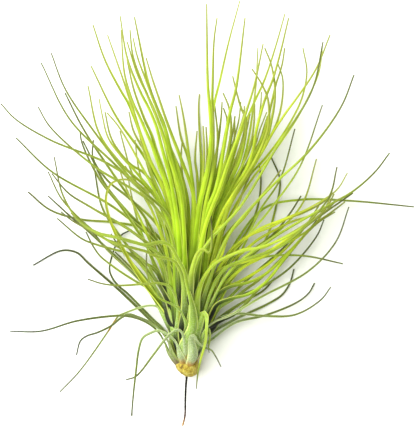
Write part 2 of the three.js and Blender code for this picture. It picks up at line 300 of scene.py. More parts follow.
def bend(piece, places, widths, rolls):
    """Bends a straight piece of unit length and width along places, to their widths and rolls."""
    guide = bpy.data.curves.new("guide", "CURVE")
    guide.dimensions = "3D"
    guide.use_stretch = True
    guide.use_deform_bounds = True
    spline = guide.splines.new("POLY")
    spline.points.add(len(places) - 1)
    for point, place, width, roll in zip(spline.points, places, widths, rolls):
        point.co = (*(crown + place * millimetre), 1)
        point.radius = width * millimetre
        point.tilt = roll
    route = bpy.data.objects.new("guide", guide)
    bpy.context.collection.objects.link(route)
    bending = piece.modifiers.new("bending", "CURVE")
    bending.object = route
    bpy.context.view_layer.objects.active = piece
    bpy.ops.object.modifier_apply(modifier="bending")
    bpy.data.objects.remove(route)


bpy.ops.object.select_all(action="DESELECT")
bpy.ops.mesh.primitive_cylinder_add(
    vertices=10,
    radius=0.5,
    depth=1,
    end_fill_type="TRIFAN",
    location=(0.5, 0, 0),
    rotation=(0, math.radians(90), 0),
)
root = bpy.context.object
root.name = "dead_root"
bpy.ops.object.transform_apply(location=True, rotation=True)
bpy.ops.object.mode_set(mode="EDIT")
bpy.ops.mesh.select_all(action="DESELECT")
bpy.ops.object.mode_set(mode="OBJECT")
for edge in root.data.edges:
    ends = [root.data.vertices[k].co for k in edge.vertices]
    edge.select = abs(ends[0].x - ends[1].x) > 0.5
bpy.ops.object.mode_set(mode="EDIT")
bpy.ops.mesh.select_mode(type="EDGE")
bpy.ops.mesh.subdivide(number_cuts=root_steps - 1)
bpy.ops.object.mode_set(mode="OBJECT")
bpy.ops.object.shade_smooth_by_angle(angle=math.radians(60))
root_places = even_places(smooth_curve(root_points), root_steps)[0]
root_widths = [
    (1.15 - 0.3 * step / root_steps) * (1 + 0.07 * math.sin(step * 1.9) + 0.05 * math.sin(step * 0.7))
    for step in range(root_steps + 1)
]
root_widths[-1] = 0.25
bend(root, root_places, root_widths, [0] * (root_steps + 1))

# Dead root skin: dry, nearly black with a red-brown cast, and tan at the frayed end. Its wrinkles run
# lengthways, 0.2 mm wide and 1.4 mm long.
root_skin = start_material("dead_root_skin")
tree = root_skin.node_tree
place = add_node(tree, "TexCoord").outputs["Object"]
down_root = add_node(tree, "MapRange", {
    "Value": add_node(tree, "SeparateXYZ", {"Vector": place}).outputs["Y"],
    "From Min": crown.y, "From Max": crown.y - root_end * millimetre,
})
root_colour = add_node(tree, "ValToRGB", {"Fac": down_root.outputs["Result"]})
root_colour.color_ramp.elements[0].color = linear("#080506")
root_colour.color_ramp.elements[1].color = linear("#B08A4A")
for position, colour in ((0.6, "#0E0808"), (0.82, "#4E2C24"), (0.9, "#8A6238")):
    root_colour.color_ramp.elements.new(position).color = linear(colour)
wrinkle_stretch = add_node(tree, "VectorMath", {
    0: place, 1: (5000, 700, 5000),
}, operation="MULTIPLY")
wrinkle = add_node(tree, "TexNoise", {
    "Vector": wrinkle_stretch.outputs["Vector"], "Scale": 1, "Detail": 2,
})
wrinkle_light = add_node(tree, "MapRange", {
    "Value": wrinkle.outputs["Fac"], "From Min": 0.3, "From Max": 0.7, "To Min": 0.6, "To Max": 1.5,
})
wrinkled = add_node(tree, "VectorMath", {
    0: root_colour.outputs["Color"], "Scale": wrinkle_light.outputs["Result"],
}, operation="SCALE")
root_relief = add_node(tree, "Bump", {
    "Height": wrinkle.outputs["Fac"], "Strength": 0.6, "Distance": 0.0002,
})
root_shader = add_node(tree, "BsdfPrincipled", {
    "Base Color": wrinkled.outputs["Vector"], "Normal": root_relief.outputs["Normal"], "Roughness": 0.6,
    "Specular IOR Level": 0.2,
})
add_node(tree, "OutputMaterial", {"Surface": root_shader.outputs["BSDF"]})
root.data.materials.append(root_skin)
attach(root, "root")
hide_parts("dry_root")


# A leaf grows round the stem, a golden angle on from the last and a little higher. It is a channel of
# thin fresh tissue: a broad silvery sheath clasps the stem, a narrow blade arches away, and the tip is
# a thread. One straight leaf of unit length and width is modelled, and each leaf is a bent copy of it.
leaf_steps = 64
leaf_columns = 6

# How far each column of the channel rises, from the middle out, and the outermost points of the
# section that this makes, as shares of the leaf's width.
channel = {0: 0.0, 1: 0.04, 2: 0.15, 3: 0.29}
leaf_corners = [(0, -0.34), (0.36, -0.2), (-0.36, -0.2), (0.58, 0.1), (-0.58, 0.1)]

bpy.ops.mesh.primitive_grid_add(
    x_subdivisions=leaf_steps, y_subdivisions=leaf_columns, size=1, location=(0.5, 0, 0),
)
straight_leaf = bpy.context.object
straight_leaf.name = "straight_leaf"
bpy.ops.object.transform_apply(location=True)
for column, rise in channel.items():
    bpy.ops.object.mode_set(mode="EDIT")
    bpy.ops.mesh.select_mode(type="VERT")
    bpy.ops.mesh.select_all(action="DESELECT")
    bpy.ops.object.mode_set(mode="OBJECT")
    for vertex in straight_leaf.data.vertices:
        vertex.select = round(abs(vertex.co.y) * leaf_columns) == column
    bpy.ops.object.mode_set(mode="EDIT")
    bpy.ops.transform.translate(value=(0, 0, rise))
bpy.ops.object.mode_set(mode="OBJECT")

# The leaf is fleshiest along its middle, and thins to its margins and towards its seat.
flesh = straight_leaf.vertex_groups.new(name="flesh")
for vertex in straight_leaf.data.vertices:
    fleshy = 0.55 + 0.45 * min(vertex.co.x * 4, 1)
    flesh.add([vertex.index], fleshy * (1 - 1.3 * abs(vertex.co.y)), "REPLACE")
thickness = straight_leaf.modifiers.new("thickness", "SOLIDIFY")
thickness.thickness = 0.3
thickness.offset = -1
thickness.vertex_group = "flesh"
thickness.thickness_vertex_group = 0.2
bpy.ops.object.modifier_apply(modifier="thickness")
bpy.ops.object.shade_smooth_by_angle(angle=math.radians(70))

# How a leaf leaves the stem, in millimetres, and how it lies. Its hollow side opens to the light.
sheath_run = 7
seat_gap = 0.3
seat_half_thickness = 0.5
seat_depth = 1.8
seat_set_back = 0.8
clasp_share = 0.8
clasp_run = 4
tip_width = 0.6
paper_gap = 0.1
bruise_reach = 5
upright_lean = math.radians(8)
full_lean = math.radians(24)
to_light = Vector((-0.45, 0.2, 1))


def lerp(start, end, share):
    return start + (end - start) * share


def smoothstep(value, start, end):
    share = min(max((value - start) / (end - start), 0), 1)
    return share * share * (3 - 2 * share)


def leaning(leaf):
    """How far a leaf leans to the left, to the right and to either side, from 0 to 1."""
    x, y = leaf["seen"][-1]
    left, right = (smoothstep(math.atan2(side * x, y), upright_lean, full_lean) for side in (-1, 1))
    return left, right, left + right


def shaded_seat_run(height):
    """How far up a leaf that grows at a height on the stem its seat colour reaches; on green and lime leaves
    this is painted shade under the leaves around it.
    """
    return lerp(14, 48, smoothstep(height, 9, 20))


def stem_radius(height):
    share = (height - dome_height) / (core_height - dome_height)
    return lerp(dome_radius, core_top_radius, min(max(share, 0), 1))


def place_seen(seen, height):
    """Moves a point seen on the paper up its line of sight to a height."""
    pull = 1 - height / eye_height
    place = picture_centre + (Vector(seen) - picture_centre) * pull
    return Vector((place.x, place.y, height))


def leaf_route(leaf):
    """The points of a leaf, from its seat over the crest to the tip, and its way out from the stem."""
    outward = stem_up * math.cos(leaf["turn"]) + Vector((math.sin(leaf["turn"]), 0, 0))
    heading = stem_axis * math.cos(leaf["launch"]) + outward * math.sin(leaf["launch"])
    off_axis = stem_radius(leaf["height"]) + seat_gap + seat_half_thickness
    surface = stem_foot + stem_axis * leaf["height"] + outward * off_axis
    sheath_top = surface + heading * sheath_run
    seat = surface - outward * seat_depth - heading * seat_set_back
    sheath_top.z = max(sheath_top.z, 0)
    places = [Vector(seen) for seen in leaf["seen"]]
    runs = [(here - before).length for before, here in zip([sheath_top.xy] + places, places)]
    points = [seat, sheath_top]
    for i, seen in enumerate(leaf["seen"]):
        u = sum(runs[:i + 1]) / sum(runs)
        arch = (1 - u) ** 2 * sheath_top.z + 2 * u * (1 - u) * leaf["crest"] + u ** 2 * leaf["tip"]
        points.append(place_seen(seen, max(arch, 0)))
    return points, outward


def grow_leaf(name, leaf, material):
    """A copy of the straight leaf, bent along its route. It opens upwards and towards the light."""
    points, outward = leaf_route(leaf)
    places, length = even_places(smooth_curve(points), leaf_steps)
    widths = []
    rolls = []
    up = Vector((0, 0, 1))
    for step, place in enumerate(places):
        u = step / leaf_steps
        neck = smoothstep(u * length, leaf["sheath_end"], leaf["blade_start"])
        clasp = lerp(clasp_share, 1, smoothstep(u * length, 0, clasp_run))
        widths.append(lerp(lerp(leaf["sheath"], leaf["blade"], neck), tip_width, u ** 2) * clasp)
        ahead = (places[min(step + 1, leaf_steps)] - places[max(step - 1, 0)]).normalized()
        up = (up - ahead * up.dot(ahead)).normalized()
        side = ahead.cross(up)
        if step == 0:
            seat_roll = math.atan2(-outward.dot(side), -outward.dot(up))
            flat = 0 if abs(seat_roll) < math.radians(100) else math.copysign(math.pi, seat_roll)
        lit = flat + math.atan2(side.dot(to_light), up.dot(to_light))
        rolls.append(lerp(seat_roll, lit, 0.8 * smoothstep(u, 0.05, 0.45)))
        opening = up * math.cos(rolls[-1]) + side * math.sin(rolls[-1])
        across = opening.cross(ahead)
        low = min((across * x + opening * y).z * widths[-1] for x, y in leaf_corners)
        place.z = max(place.z, paper_gap - low)
    piece = straight_leaf.copy()
    piece.data = straight_leaf.data.copy()
    piece.name = name
    bpy.context.collection.objects.link(piece)
    from_stem = [vertex.co.x * length for vertex in piece.data.vertices]
    bruise = leaf.get("bruise", -20)
    base_end = leaf["base_end"]
    shares = {
        "from_stem": from_stem,
        "seat_and_shade": [1 - smoothstep(run, base_end * 0.4, base_end) for run in from_stem],
        "tone_and_light": [leaf["tone_and_light"]] * len(from_stem),
        "bruise": [max(0, 1 - abs(run - bruise) / bruise_reach) for run in from_stem],
    }
    for share, values in shares.items():
        piece.data.attributes.new(share, "FLOAT", "POINT").data.foreach_set("value", values)
    bend(piece, places, widths, rolls)
    piece.data.materials.append(material)
    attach(piece, "root")
    return piece


def leaf_material(name, base, sheath, shade_to_light_blades, far_blade, edge, tip, scales):
    """Satin leaf tissue, which lets some light through, under fine silver scales that make it matt."""
    material = start_material(name)
    tree = material.node_tree
    run, seat_and_shade_share, tone_and_light, bruise = (
        add_node(tree, "Attribute", attribute_name=share).outputs["Fac"]
        for share in ("from_stem", "seat_and_shade", "tone_and_light", "bruise")
    )
    places = add_node(tree, "TexCoord").outputs
    strip = add_node(tree, "SeparateXYZ", {"Vector": places["UV"]}).outputs

    # The colour runs from the seat over the silvery sheath to the green blade, by millimetres from the stem.
    # A leaf's tone picks a blade colour from painted shade through fresh to painted light: it changes with
    # age and at random, and is painted lower on leaves that lean left into the window light and higher on
    # leaves that lean right into the plant's own shadow.
    toned_and_lit_blade = add_node(tree, "ValToRGB", {"Fac": tone_and_light})
    toned_and_lit_blade.color_ramp.elements[0].color = linear(shade_to_light_blades[0])
    toned_and_lit_blade.color_ramp.elements[1].color = linear(shade_to_light_blades[2])
    toned_and_lit_blade.color_ramp.elements.new(0.35).color = linear(shade_to_light_blades[1])
    green = add_node(tree, "MapRange", {
        "Value": run, "From Min": 14, "From Max": 60,
    }, interpolation_type="SMOOTHSTEP")
    body = add_node(tree, "Mix", {
        0: green.outputs["Result"], 6: linear(sheath), 7: toned_and_lit_blade.outputs["Color"],
    }, data_type="RGBA")
    # The seat colour is tan on old leaves, and near black painted shade on green and lime leaves where the
    # leaves around cover them.
    seat_and_shade = add_node(tree, "Mix", {
        0: seat_and_shade_share, 6: body.outputs[2], 7: linear(base),
    }, data_type="RGBA")

    # A blade grows yellower and duller towards its end.
    far = add_node(tree, "MapRange", {
        "Value": strip["X"], "From Min": 0.3, "From Max": 0.8, "To Min": 0, "To Max": 0.6,
    })
    dulled = add_node(tree, "Mix", {
        0: far.outputs["Result"], 6: seat_and_shade.outputs[2], 7: linear(far_blade),
    }, data_type="RGBA")

    # Light and dark patches are 11 mm across, 90 to the metre. Sixteen veins lie side by side on a
    # leaf, coarser than the real ones so that they show.
    patch = add_node(tree, "TexNoise", {
        "Vector": places["Object"], "Scale": 90, "Detail": 3,
    })
    vein_place = add_node(tree, "CombineXYZ", {"X": strip["X"], "Y": strip["Y"]})
    vein_stretch = add_node(tree, "VectorMath", {
        0: vein_place.outputs["Vector"], 1: (8, 16, 1),
    }, operation="MULTIPLY")
    vein = add_node(tree, "TexNoise", {
        "Vector": vein_stretch.outputs["Vector"], "Scale": 1, "Detail": 1,
    })
    shade = add_node(tree, "Math", {
        0: patch.outputs["Fac"], 1: vein.outputs["Fac"],
    }, operation="ADD")
    light = add_node(tree, "MapRange", {
        "Value": shade.outputs["Value"], "From Min": 0.75, "From Max": 1.25, "To Min": 0.68, "To Max": 1.18,
    })
    toned = add_node(tree, "VectorMath", {
        0: dulled.outputs[2], "Scale": light.outputs["Result"],
    }, operation="SCALE")

    # Silver scales lie close on the sheath, 0.45 mm apart or 2200 to the metre. They thin out along the
    # blade and over the seat colour, which on young leaves is painted shade.
    scale = add_node(tree, "TexVoronoi", {"Vector": places["Object"], "Scale": 2200})
    scale_edge = add_node(tree, "MapRange", {
        "Value": scale.outputs["Distance"], "From Min": 0.2, "From Max": 0.6, "To Min": 1, "To Max": 0,
    })
    cover = add_node(tree, "MapRange", {
        "Value": run, "From Min": 12, "From Max": 40, "To Min": scales, "To Max": scales * 0.2,
    })
    bared = add_node(tree, "MapRange", {"Value": seat_and_shade_share, "To Min": 1, "To Max": 0.1})
    covered = add_node(tree, "Math", {
        0: cover.outputs["Result"], 1: bared.outputs["Result"],
    }, operation="MULTIPLY")
    silver = add_node(tree, "Math", {
        0: scale_edge.outputs["Result"], 1: covered.outputs["Value"],
    }, operation="MULTIPLY")
    scaled = add_node(tree, "Mix", {
        0: silver.outputs["Value"], 6: toned.outputs["Vector"], 7: linear("#D9DDC4"),
    }, data_type="RGBA")

    # A kinked leaf is bruised brown at the kink.
    bruised = add_node(tree, "Mix", {
        0: bruise, 6: scaled.outputs[2], 7: linear("#A8641A"),
    }, data_type="RGBA")

    # The margins are painted pale, partly as thin pale tissue and partly as painted highlight where light
    # comes through them.
    middle = add_node(tree, "Math", {0: strip["Y"], 1: 0.5}, operation="SUBTRACT")
    off_middle = add_node(tree, "Math", {0: middle.outputs["Value"]}, operation="ABSOLUTE")
    margin = add_node(tree, "MapRange", {
        "Value": off_middle.outputs["Value"], "From Min": 0.3, "From Max": 0.46, "To Min": 0, "To Max": 0.65,
    })
    fading = add_node(tree, "MapRange", {
        "Value": strip["X"], "From Min": 0.35, "From Max": 0.7, "To Min": 1, "To Max": 0.2,
    })
    pale_margin_and_highlight = add_node(tree, "Math", {
        0: margin.outputs["Result"], 1: fading.outputs["Result"],
    }, operation="MULTIPLY")
    margined_and_highlighted = add_node(tree, "Mix", {
        0: pale_margin_and_highlight.outputs["Value"], 6: bruised.outputs[2], 7: linear(edge),
    }, data_type="RGBA")

    # The last part of the thread is dry.
    dry = add_node(tree, "MapRange", {
        "Value": strip["X"], "From Min": 0.64, "From Max": 1,
    }, interpolation_type="SMOOTHSTEP")
    tipped = add_node(tree, "Mix", {
        0: dry.outputs["Result"], 6: margined_and_highlighted.outputs[2], 7: linear(tip),
    }, data_type="RGBA")
    relief = add_node(tree, "Bump", {
        "Height": silver.outputs["Value"], "Strength": 0.4, "Distance": 0.0001,
    })
    shader = add_node(tree, "BsdfPrincipled", {
        "Base Color": tipped.outputs[2],
        "Normal": relief.outputs["Normal"],
        "Roughness": 0.5,
        "IOR": 1.45,
        "Specular IOR Level": 0.2,
        "Subsurface Weight": 0.2,
        "Subsurface Radius": (0.4, 0.8, 0.1),
        "Subsurface Scale": 0.001,
    })
    add_node(tree, "OutputMaterial", {"Surface": shader.outputs["BSDF"]})
    return material


# Each look gives its seat colour first: tan or brown on the silvery and dark looks, and near black painted
# shade on the green and lime looks.
leaf_looks = {
    "silvery": leaf_material(
        "silvery_old_leaf", "#B48A40", "#90A466", ("#5E6C18", "#667A1A", "#7C8E2A"), "#5A5E20",
        "#D6E0A2", "#4E4F34", 0.6),
    "dark": leaf_material(
        "dark_dry_leaf", "#6A5A38", "#6E7E3A", ("#48501A", "#4C581A", "#5A6626"), "#44481E",
        "#8E9A54", "#44453A", 0.3),
    # The green look also darkens young leaves that lean far left and low leaves under the bundle, as painted
    # shade.
    "green": leaf_material(
        "green_grown_and_shaded_leaf", "#161E08", "#84A23A", ("#7A881C", "#84A01A", "#B4CC30"), "#7C8626",
        "#DCEA80", "#55572E", 0.4),
    "lime": leaf_material(
        "lime_young_leaf", "#0E1404", "#6E8C20", ("#8E981C", "#92B60E", "#C8DA2C"), "#9CA430",
        "#DEEA66", "#8A8E40", 0.1),
}

# The grown leaves, oldest first, are those that show singly, and each stands for its CAD leaf. Height
# and turn say where on the stem it grows, crest how high it arches, tip how high it ends, and seen the
# points that it passes on the way. What a row leaves out follows from the leaf's age and lean.
golden_angle = math.radians(137.5)
first_leaf_height = 5
leaf_spacing = 0.4
outer_launch = math.radians(24)
inner_launch = math.radians(7)
old_leaves = 16
old_base_end = 7
green_leaves = 18
shaded_lean = 0.9
grown_leaves = [
    dict(height=6.5, turn=20, crest=30.5, tip=12, sheath=4.5, blade=1, sheath_end=9, blade_start=32, seen=[
        [2.1, 17], [1.7, 20.3], [3.2, 19.6], [5.6, 16.4], [8.6, 14.2], [12, 12.9], [14.2, 9.8],
        [16.9, 4.6]]),
    dict(crest=14, tip=0, seen=[[13.5, 19], [24, 26.5], [40, 30.5], [55.5, 37], [61, 41.5], [63.8, 46.5]]),
    dict(crest=14, tip=5, look="dark", seen=[
        [-11, 16], [-13.5, 20.5], [-16, 23.5], [-20, 26.5], [-25, 28.8], [-31, 30], [-38, 29.8],
        [-55.5, 27.3], [-73, 22.3], [-88.5, 22.3]]),
    dict(height=10, turn=35, crest=38, tip=10, sheath=4.4, blade=1.9, sheath_end=20, blade_start=38,
         look="green", tone_and_light=1, seen=[
        [4.4, 21], [5.6, 25.5], [7.2, 29.8], [8.4, 31.2], [9.5, 29.6], [9.5, 24], [9.2, 18], [8.2, 13.6],
        [6.8, 8.6], [5.6, 3], [5, -1.5], [4.6, -6.5]]),
    dict(crest=1, tip=0, sheath_end=4, blade_start=14, look="dark", seen=[
        [-10, 21], [-13, 24], [-16.2, 26.2], [-19, 28.7], [-25, 34.5], [-36, 44.8], [-50, 57], [-54, 61],
        [-58, 62.6], [-63.5, 62.5], [-77, 55.3]]),
    dict(height=9.5, turn=-6, crest=39, tip=4, sheath=4, blade=1.2, sheath_end=5, blade_start=15, seen=[
        [-1.7, 19], [-2.9, 22], [-4.6, 23], [-7.4, 21.8], [-11.2, 18], [-16.5, 11], [-25.3, 0],
        [-30.5, -2]]),
    dict(crest=14, tip=12, seen=[[13, 26.5], [24.5, 31], [37.5, 30], [54, 30.5], [67, 38], [72, 44.5]]),
    dict(height=7.5, turn=-25, crest=26, tip=0, sheath=3.8, blade=1.2, sheath_end=5, blade_start=14, seen=[
        [-5.6, 16.6], [-8.4, 19.6], [-11.5, 21.6], [-14.5, 22.6], [-18, 21.6], [-22.2, 19], [-24.2, 13],
        [-25.5, 3], [-26.8, -8.5], [-27.8, -20]]),
    dict(crest=48, tip=30, sheath=4, blade=1.4, sheath_end=24, blade_start=56, look="green", tone_and_light=0.9, seen=[
        [4.4, 24], [4.5, 33], [5.3, 40.5], [7.2, 46.5], [9.8, 51.5], [13, 55.4], [17.5, 58.4], [22, 60.5],
        [28, 62.6], [37.5, 64.5], [56.5, 73.5], [71, 89.5], [75, 104.5]]),
    dict(crest=1, tip=0, seen=[[11, 21], [25.5, 29], [40.5, 36], [47.5, 40.5], [51.5, 46.5], [53.5, 53.5]]),
    dict(height=7, crest=18, tip=3, blade=1.1, sheath_end=6, blade_start=16, look="dark", seen=[
        [-9, 16], [-12, 21], [-15, 24.2], [-20, 27.5], [-25, 29.6], [-29, 30.8], [-33, 29], [-38, 25],
        [-45, 21.6], [-50, 20], [-53.3, 17.5], [-55.3, 10.5]]),
    dict(crest=24, tip=14, seen=[[11, 25], [22.5, 30.5], [36.5, 39], [61, 52.5], [74.5, 67], [81, 84.5]]),
    dict(crest=8, tip=1, blade=1.1, sheath_end=4, blade_start=14, look="dark", seen=[
        [-10, 20], [-12.5, 24], [-16, 27.3], [-19, 30.3], [-22, 33.4], [-30, 41.5], [-34, 44.8], [-37, 48.5],
        [-38.7, 53], [-37.6, 59.5], [-35.5, 65.5], [-33, 70.2], [-29, 72.5]]),
    dict(crest=66, tip=14, sheath=4.4, blade=1.7, sheath_end=22, blade_start=42,
         look="green", tone_and_light=0.2, seen=[
        [2.8, 24], [3, 29], [2.7, 34], [1.7, 38.5], [0.6, 43], [-0.3, 47], [-0.9, 50.5], [-2.2, 54.2],
        [-4.2, 57.5], [-6.2, 61.5], [-8.2, 64.8], [-10.8, 66.4], [-14.5, 66.9], [-20, 65.4], [-26, 66.6],
        [-35, 69.2], [-43.5, 71], [-54, 77.5], [-62, 90], [-66.5, 109.5]]),
    dict(crest=9, tip=8, seen=[[12, 32], [26.5, 40], [37.5, 44.5], [51.5, 54], [65, 70], [68.5, 78]]),
    dict(crest=12, tip=1, blade=1.2, bruise=54, seen=[
        [-9.5, 27], [-12, 32], [-15, 34.6], [-19.5, 35], [-25, 33.6], [-31, 31.3], [-34, 30], [-36.3, 27],
        [-38.5, 23.5], [-53.5, 2.5], [-63.5, -8]]),
    dict(crest=34, tip=24, seen=[[12.5, 43], [19.5, 54], [31.5, 59], [46.5, 64.5], [62.5, 77], [83, 91.5]]),
    # This leaf lies in the heart's shadow; its brightest tone is painted light.
    dict(crest=0.5, tip=0, tone_and_light=1, seen=[[28, 56], [38.5, 66.5], [44.5, 84.5], [46.5, 98], [42.3, 109]]),
    dict(crest=30, tip=16, blade=1.2, seen=[
        [-5, 34], [-6.8, 41.5], [-9.5, 45], [-14, 46.3], [-20, 46.1], [-33.5, 45.2], [-42, 46],
        [-49.5, 48.3]]),
    dict(crest=19, tip=16, seen=[[20.5, 50], [37.5, 59], [58, 60], [78, 56]]),
    dict(crest=12, tip=3, blade=1.2, seen=[
        [-9.5, 25], [-12, 33], [-15.5, 39.5], [-19, 43.5], [-24.5, 46.6], [-31, 50.6], [-38, 55.5],
        [-43.5, 60], [-47, 65], [-50.5, 72]]),
    dict(crest=62, tip=50, seen=[[4.5, 55], [10, 66], [26.5, 84.5], [44, 113], [62.5, 143], [68, 167]]),
    dict(crest=4, tip=6, seen=[[24, 66], [39, 84], [56.5, 88], [81.5, 87.5], [113.5, 84.5]]),
    dict(crest=20, tip=12, seen=[
        [-8.5, 33], [-12, 42], [-15, 46.5], [-19, 52], [-23, 57], [-28, 60.8], [-36, 63], [-45, 65.5],
        [-52.5, 68.5], [-65, 78.8]]),
    dict(crest=34, tip=24, seen=[[20.5, 51], [41.5, 68], [66.5, 83], [82.5, 92], [94, 102], [101.3, 111.5]]),
    dict(crest=0.6, tip=0, seen=[
        [-10, 62], [-17, 72], [-34.5, 76.5], [-53.5, 78.3], [-68.5, 83], [-79.5, 92]]),
    dict(crest=56, tip=20, sheath=3.8, sheath_end=22, blade_start=56, seen=[
        [-1, 34], [-1.2, 40], [-1.8, 46], [-2.8, 51], [-4.2, 54.2], [-6.3, 57.2], [-9.5, 58.6],
        [-13.5, 59.3], [-17, 60.4], [-20, 62], [-26, 63.7], [-35, 66], [-43.5, 70], [-62, 87.5],
        [-69.5, 102]]),
    # This leaf lies in the heart's shadow; its brightest tone is painted light.
    dict(crest=13, tip=12, tone_and_light=1, seen=[[28, 64], [36.5, 82.5], [46.5, 98], [54, 123.5]]),
    # This young leaf gets the darker silvery look as painted shade, where it faces the window light.
    dict(crest=10, tip=5, look="silvery", seen=[
        [-7.5, 28], [-13, 36], [-18, 42], [-22.5, 46.8], [-26, 50.5], [-30, 54.5], [-35, 59.3], [-42, 65.6],
        [-49, 72], [-58, 79.5], [-69.5, 90]]),
    dict(crest=46, tip=36, seen=[
        [13.5, 54], [21.5, 71.5], [41.5, 94], [61, 112.5], [77, 134.5], [83.5, 150.5]]),
    # This leaf lies in the heart's shadow; its brightest tone is painted light.
    dict(crest=1, tip=0, tone_and_light=1, seen=[[24, 62], [34.5, 81.5], [37, 97], [36, 106.5]]),
    dict(crest=38, tip=20, seen=[
        [-9, 65.5], [-21, 92], [-38.5, 105.5], [-68.5, 118], [-86, 128.5], [-93, 136]]),
    dict(crest=24, tip=22, seen=[[24, 61], [41.5, 83], [56.5, 104.5], [67.8, 135.5]]),
    dict(crest=3, tip=2, seen=[
        [-8, 36], [-12, 46], [-16, 52.4], [-20.5, 56.3], [-25.5, 59.5], [-28.6, 63.5], [-32, 68],
        [-36, 73.5], [-42.5, 84.5], [-46.5, 104.5]]),
    dict(crest=58, tip=70, seen=[
        [-1.5, 70.5], [-3.3, 91], [-6, 100.3], [-9, 109.5], [-11.2, 118], [-14, 126], [-17.1, 134.5],
        [-20.6, 141.8], [-25, 151], [-30, 167]]),
    dict(crest=7, tip=6, seen=[[30, 60], [46.5, 73], [58, 86.5], [64.8, 108.5]]),
    dict(crest=17, tip=9, seen=[
        [-9.5, 53], [-14.5, 65], [-23.5, 74], [-38.5, 85.5], [-67.5, 102], [-85.5, 119]]),
    dict(crest=44, tip=34, seen=[
        [16, 78], [28, 98], [37.2, 111.4], [43.1, 122], [49, 131], [56.2, 140.8], [64.5, 153.5],
        [71.5, 170.5]]),
    dict(crest=0.6, tip=0, seen=[[5, 80], [7.2, 103], [6.3, 122], [5.8, 134], [6.2, 141]]),
    dict(crest=47, tip=30, seen=[[-8, 70.5], [-18.5, 87], [-46, 104.5], [-68.5, 124.5], [-74.5, 134.5]]),
    dict(crest=20, tip=26, seen=[
        [14, 73], [22, 90], [28.5, 108], [31.2, 120], [33.2, 134], [34.6, 146], [35.5, 164]]),
    dict(crest=8, tip=10, seen=[[-17, 72], [-33.5, 96], [-51.5, 123], [-61, 141.5]]),
    dict(crest=58, tip=62, seen=[
        [9, 74], [16, 93], [20, 105], [23.5, 114.5], [27, 124], [29.7, 132.6], [32.4, 141], [34.5, 149],
        [38, 166]]),
    dict(crest=8, tip=12, seen=[
        [18, 78], [30, 98.5], [39.2, 108.8], [45.7, 117.3], [52.3, 127.7], [57.5, 138.8], [60, 152],
        [58, 164]]),
    dict(crest=33, tip=22, seen=[[-13.5, 79.5], [-33.5, 103], [-58.5, 128], [-73, 156.5]]),
    dict(crest=32, tip=40, seen=[
        [14, 77], [22, 92], [29, 102], [32.8, 112.2], [34.7, 123], [37.2, 132.6], [39.7, 140.3], [42.8, 148],
        [47, 163], [50.8, 179]]),
    dict(crest=6, tip=6, seen=[[-8, 83], [-21, 109], [-35, 129], [-48, 155]]),
    dict(crest=54, tip=58, seen=[
        [-5, 78], [-8.5, 98.4], [-11, 108], [-13.3, 116.5], [-15.2, 124], [-19, 133.4], [-23.3, 141.8],
        [-30, 159], [-33.5, 180]]),
    dict(crest=14, tip=24, seen=[
        [12.5, 82], [20, 97], [23.8, 111], [26.6, 120.3], [30.8, 130], [34.3, 138], [38.9, 148], [44.5, 165],
        [49, 181]]),
    dict(crest=20, tip=16, seen=[[-13.5, 85.5], [-33.5, 106.5], [-44, 121.5], [-49.5, 145]]),
    dict(crest=48, tip=50, seen=[
        [10, 82], [14, 92], [16, 100], [18, 112], [19.7, 122], [21.5, 132], [24.5, 144], [29, 179]]),
    dict(crest=4, tip=3, seen=[[3.5, 88], [1, 107.5], [-3, 119.5], [-5.5, 135]]),
    dict(crest=40, tip=34, seen=[[-8, 77.5], [-26, 96], [-47.5, 123.5], [-61, 143.5], [-68, 161.5]]),
    dict(crest=24, tip=34, seen=[
        [8, 82], [10.8, 104], [12.2, 122], [13.6, 135], [16.7, 148], [21, 167], [26.5, 187.5]]),
    dict(crest=10, tip=16, seen=[
        [-8, 76], [-15.2, 94.5], [-18.7, 103], [-20.8, 111], [-23.5, 121.5], [-26.5, 129.5], [-29.4, 136.5],
        [-33.3, 143], [-41, 158], [-47, 175.5]]),
    dict(crest=46, tip=56, seen=[
        [6, 84], [10.5, 104], [12, 122], [11.2, 134], [10.3, 146], [10, 160], [9.8, 186]]),
    dict(crest=8, tip=14, seen=[[14, 84], [31.5, 104], [45.5, 128], [48, 148], [45.5, 156]]),
    dict(crest=30, tip=38, seen=[
        [-1.5, 86], [-5.6, 105.7], [-8.7, 114.5], [-10.8, 123], [-14.8, 133.4], [-18.7, 144],
        [-26.3, 179.5]]),
]

# A younger leaf has a longer sheath and a broader blade. One that leans is narrower. A leaf that leans left
# is painted darker, as painted shade against the window light, and one that leans right is painted brighter,
# as painted light in the plant's own shadow.
for rank, leaf in enumerate(grown_leaves):
    age = rank / (len(grown_leaves) - 1)
    left, right, aside = leaning(leaf)
    leaf.setdefault("sheath", lerp(4.2, 3.7, age))
    leaf.setdefault("blade", lerp(1.3, 2.2 - 0.8 * aside, age))
    leaf.setdefault("tone_and_light", (0.15 + 0.3 * age) * (1 - 0.8 * left) + 0.9 * age * right)
    leaf.setdefault("sheath_end", lerp(2, lerp(26, 8, aside), age ** 0.7))
    leaf.setdefault("blade_start", lerp(14, 84 - 44 * left - 26 * right, age ** 0.7))
    leaf.setdefault("height", first_leaf_height + rank * leaf_spacing)
    # Old leaves get a short tan seat; the others get a seat painted in shade as far as the leaves around
    # cover them.
    leaf["base_end"] = old_base_end if rank < old_leaves else shaded_seat_run(leaf["height"])
    leaf["turn"] = math.radians(leaf["turn"]) if "turn" in leaf else rank * golden_angle
    leaf["launch"] = lerp(outer_launch, inner_launch, age)
    if rank < old_leaves:
        look, slot = "silvery", "old_leaf"
    elif rank < old_leaves + green_leaves:
        look, slot = "green", "leaf"
    else:
        # Young leaves that lean far left get the darker green look, as painted shade.
        look, slot = "green" if left > shaded_lean else "lime", "young_leaf"
    node = f"leaf_{rank + 1:02d}"
    piece = grow_leaf(f"grown_{node}", leaf, leaf_looks[leaf.get("look", look)])
    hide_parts(node)

